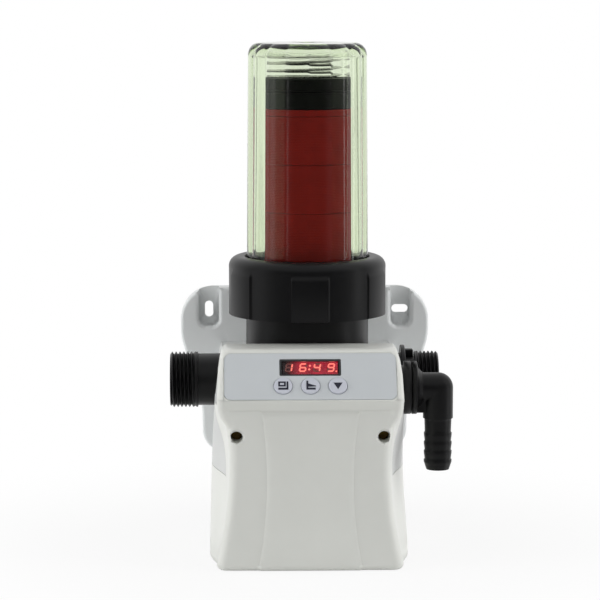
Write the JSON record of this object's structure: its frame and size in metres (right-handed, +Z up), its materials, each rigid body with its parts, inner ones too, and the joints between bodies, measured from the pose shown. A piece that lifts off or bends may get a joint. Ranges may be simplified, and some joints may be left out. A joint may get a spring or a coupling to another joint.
{
  "type": "automatic backwash disc filter",
  "caption": "Wall-hung disc filter with a clear ribbed bowl, lock nut, threaded inlet and outlet, turning drain elbow, and a white housing with a sloping clock panel.",
  "frame": {"origin": "on the bowl's vertical axis, in the plane of the housing's flat underside", "axes": "+X along the main pipe from the inlet to the outlet, +Y to the wall, +Z up along the bowl's axis"},
  "size_m": [0.1668, 0.154, 0.3005],
  "materials": {
    "cover_white": "smooth moulded, satin gloss",
    "shell_grey": "fine moulded grain",
    "bracket_grey": "fine moulded grain",
    "facia_silver": "printed film, satin",
    "window_dark": "smoked red pane, polished",
    "display_case": "smoked module",
    "board_green": "solder mask",
    "switch_black": "moulded",
    "button_grey": "satin",
    "black_plastic": "glass-filled nylon, satin",
    "seal_rubber": "moulded",
    "disc_red": "fine grooved",
    "bowl_clear": "clear, faint green tint, polished",
    "spring_steel": "drawn wire",
    "seat_white": "waxy",
    "gear_white": "acetal",
    "screw_brass": "dull",
    "screw_steel": "zinc plated",
    "motor_steel": "rolled"
  },
  "bodies": {
    "base": {"wall_bracket": "bracket_grey", "bracket_screws": "screw_steel", "rear_shell": "shell_grey", "front_cover": "cover_white", "cover_screws": "screw_brass", "facia_panel": "facia_silver", "display_window": "window_dark", "led_display": "display_case", "control_board": "board_green", "tact_switches": "switch_black", "filter_head": "black_plastic", "manifold_body": "black_plastic", "bowl_seal": "seal_rubber", "inlet_spigot": "black_plastic", "outlet_spigot": "black_plastic", "filter_core": "black_plastic", "drain_valve_body": "black_plastic", "valve_seats": "seat_white", "elbow_clip": "spring_steel", "drive_frame": "gear_white", "frame_screws": "screw_steel", "gearbox_case": "gear_white", "motor_can": "motor_steel", "power_jack": "black_plastic", "jack_nut": "screw_steel"},
    "bowl": {"bowl": "bowl_clear"},
    "slip_ring": {"slip_ring": "seat_white"},
    "collar_nut": {"collar_nut": "black_plastic"},
    "clamp_cap": {"clamp_cap": "black_plastic", "disc_spring": "spring_steel"},
    "disc_stack": {"disc_pack_1": "disc_red", "disc_pack_2": "disc_red", "disc_pack_3": "disc_red", "disc_pack_4": "disc_red", "disc_pack_top": "disc_red"},
    "valve_rotor": {"valve_ball": "seat_white", "valve_stem": "black_plastic", "stem_seal": "seal_rubber", "valve_gear": "gear_white"},
    "motor_pinion": {"motor_pinion": "gear_white"},
    "drain_elbow": {"drain_elbow": "black_plastic", "elbow_seal": "seal_rubber"},
    "button_left": {"button_left": "button_grey", "switch_plunger_left": "switch_black"},
    "button_middle": {"button_middle": "button_grey", "switch_plunger_middle": "switch_black"},
    "button_right": {"button_right": "button_grey", "switch_plunger_right": "switch_black"}
  },
  "joints": [
    {"name": "bowl_lift", "type": "slide", "parent": "base", "child": "bowl", "axis": [0, 0, 1], "range_m": [0, 0.14]},
    {"name": "collar_rise", "type": "slide", "parent": "bowl", "child": "slip_ring", "axis": [0, 0, 1], "range_m": [0, 0.012]},
    {"name": "collar_turn", "type": "hinge", "parent": "slip_ring", "child": "collar_nut", "pos_m": [0, 0, 0.158], "axis": [0, 0, 1], "range_deg": [0, 1080]},
    {"name": "clamp_lift", "type": "slide", "parent": "base", "child": "clamp_cap", "axis": [0, 0, 1], "range_m": [0, 0.004], "stiffness_N_per_m": 900, "springref_m": -0.01, "deforming": ["disc_spring"]},
    {"name": "disc_spin", "type": "hinge", "parent": "base", "child": "disc_stack", "pos_m": [0, 0, 0.2], "axis": [0, 0, 1], "continuous": true},
    {"name": "valve_turn", "type": "hinge", "parent": "base", "child": "valve_rotor", "pos_m": [0.03, -0.0365, 0.1], "axis": [0, 0, 1], "range_deg": [0, 90]},
    {"name": "motor_turn", "type": "hinge", "parent": "base", "child": "motor_pinion", "pos_m": [0.006, -0.0365, 0.068], "axis": [0, 0, 1], "range_deg": [-270, 0]},
    {"name": "elbow_swivel", "type": "hinge", "parent": "base", "child": "drain_elbow", "pos_m": [0.07, -0.0365, 0.1], "axis": [1, 0, 0], "range_deg": [-180, 30]},
    {"name": "left_press", "type": "slide", "parent": "base", "child": "button_left", "axis": [0, 0.7755, -0.6314], "range_m": [0, 0.0006], "stiffness_N_per_m": 600, "springref_m": -0.001},
    {"name": "middle_press", "type": "slide", "parent": "base", "child": "button_middle", "axis": [0, 0.7755, -0.6314], "range_m": [0, 0.0006], "stiffness_N_per_m": 600, "springref_m": -0.001},
    {"name": "right_press", "type": "slide", "parent": "base", "child": "button_right", "axis": [0, 0.7755, -0.6314], "range_m": [0, 0.0006], "stiffness_N_per_m": 600, "springref_m": -0.001}
  ],
  "couplings": [
    {"joint": "collar_rise", "follows": "collar_turn", "m_per_rad": 0.00063662},
    {"joint": "motor_turn", "follows": "valve_turn", "ratio": -3}
  ]
}
